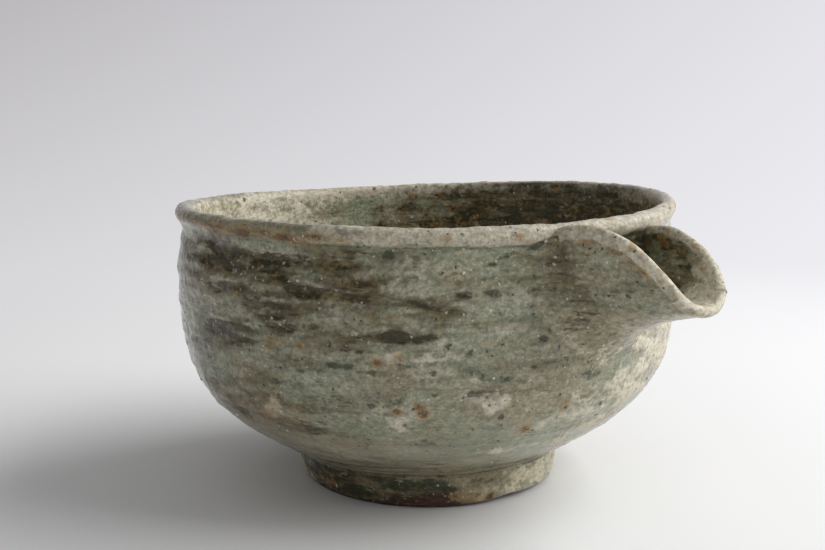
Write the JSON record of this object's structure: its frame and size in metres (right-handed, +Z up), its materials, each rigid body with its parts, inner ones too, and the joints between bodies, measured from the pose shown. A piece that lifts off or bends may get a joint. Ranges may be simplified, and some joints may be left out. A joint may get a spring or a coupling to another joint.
{
  "type": "katakuchi sake pourer",
  "caption": "Round stoneware sake pourer with a rolled rim, an open trough spout luted on over a hole under the rim, and a low turned foot ring.",
  "frame": {"origin": "centre of the foot ring on the table, on the axis of the thrown bowl", "axes": "+Z up along the bowl's axis, +X along the spout, +Y to the pourer's left when looking along the spout"},
  "size_m": [0.1685, 0.14, 0.079],
  "materials": {
    "bowl_glaze": "satin grey-green ash glaze over gritty iron-bearing clay, with specks, pits and brown streaks",
    "foot_glaze": "thin olive ash glaze with bare brown clay, ochre and cream crust in patches",
    "foot_luting": "fired slip in the crease, glazed over",
    "spout_glaze": "satin grey ash glaze with fine dark specks, thin and tan along the edges",
    "spout_luting": "fired slip smeared over the wall, glazed over"
  },
  "bodies": {
    "root": {"bowl": "bowl_glaze", "foot_ring": "foot_glaze", "foot_slip": "foot_luting", "spout": "spout_glaze", "spout_slip": "spout_luting"}
  },
  "joints": []
}
